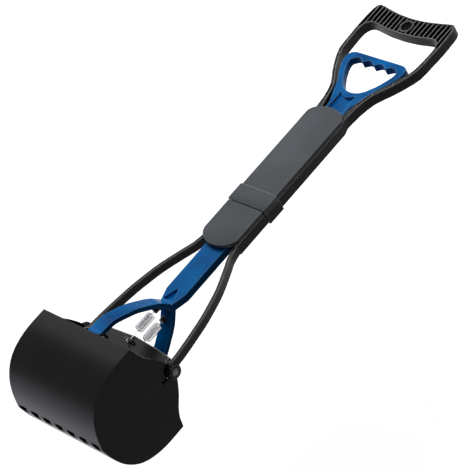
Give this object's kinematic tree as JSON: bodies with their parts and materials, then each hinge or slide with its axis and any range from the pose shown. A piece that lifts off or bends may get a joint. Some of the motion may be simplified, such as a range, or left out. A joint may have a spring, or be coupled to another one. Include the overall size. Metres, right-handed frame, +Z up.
{
  "type": "pooper scooper",
  "caption": "Folding long-handled waste scoop: pulling the inner finger handle opens two spring-closed toothed jaws, and a hinge folds the shaft.",
  "frame": {"origin": "bottom centre of the closed tool's box, under the middle of the jaws' closing line", "axes": "+Z up the shaft to the grip, X along the jaws' axle, -Y the front with the covers"},
  "size_m": [0.1506, 0.1288, 0.6174],
  "materials": {
    "black_plastic": "moulded, low gloss",
    "jaw_plastic": "moulded, glossy",
    "blue_plastic": "moulded, glossy",
    "grey_cover": "satin",
    "spring_wire": "bright wire",
    "steel_fastener": "plated"
  },
  "bodies": {
    "handle": {"handle_frame": "black_plastic", "upper_cover": "grey_cover", "upper_cover_screw_1": "steel_fastener", "upper_cover_screw_2": "steel_fastener", "upper_cover_screw_3": "steel_fastener", "upper_cover_screw_4": "steel_fastener"},
    "pull_rod": {"pull_handle": "blue_plastic", "rod_hinge_pin": "steel_fastener"},
    "fork": {"fork_frame": "black_plastic", "lower_cover": "grey_cover", "lower_cover_screw_1": "steel_fastener", "lower_cover_screw_2": "steel_fastener", "tie_bar": "black_plastic", "left_pivot_washer": "black_plastic", "right_pivot_washer": "black_plastic", "left_pivot_screw": "steel_fastener", "right_pivot_screw": "steel_fastener", "left_fold_pin": "steel_fastener", "right_fold_pin": "steel_fastener"},
    "lower_rod": {"jaw_fork": "blue_plastic", "front_spring_post": "black_plastic", "rear_spring_post": "black_plastic", "front_jaw_pin": "steel_fastener", "rear_jaw_pin": "steel_fastener", "front_spring": "spring_wire", "rear_spring": "spring_wire"},
    "front_scoop": {"front_jaw": "jaw_plastic"},
    "rear_scoop": {"rear_jaw": "jaw_plastic"}
  },
  "joints": [
    {"name": "pull", "type": "slide", "parent": "handle", "child": "pull_rod", "axis": [0, 0, 1], "range_m": [0, 0.02], "stiffness_N_per_m": 900, "springref_m": -0.012},
    {"name": "fold", "type": "hinge", "parent": "handle", "child": "fork", "pos_m": [0, 0.0092, 0.314], "axis": [1, 0, 0], "range_deg": [0, 158]},
    {"name": "lower_pull", "type": "slide", "parent": "fork", "child": "lower_rod", "axis": [0, 0, 1], "range_m": [0, 0.02], "deforming": ["front_spring", "rear_spring"]},
    {"name": "front_jaw_hinge", "type": "hinge", "parent": "fork", "child": "front_scoop", "pos_m": [0, 0, 0.1109], "axis": [1, 0, 0], "range_deg": [-21.81, 0]},
    {"name": "rear_jaw_hinge", "type": "hinge", "parent": "fork", "child": "rear_scoop", "pos_m": [0, 0, 0.1109], "axis": [1, 0, 0], "range_deg": [0, 21.81]}
  ],
  "couplings": [
    {"joint": "lower_pull", "follows": "pull", "ratio": 1},
    {"joint": "front_jaw_hinge", "follows": "pull", "rad_per_m": -19.02},
    {"joint": "rear_jaw_hinge", "follows": "pull", "rad_per_m": 19.02}
  ]
}
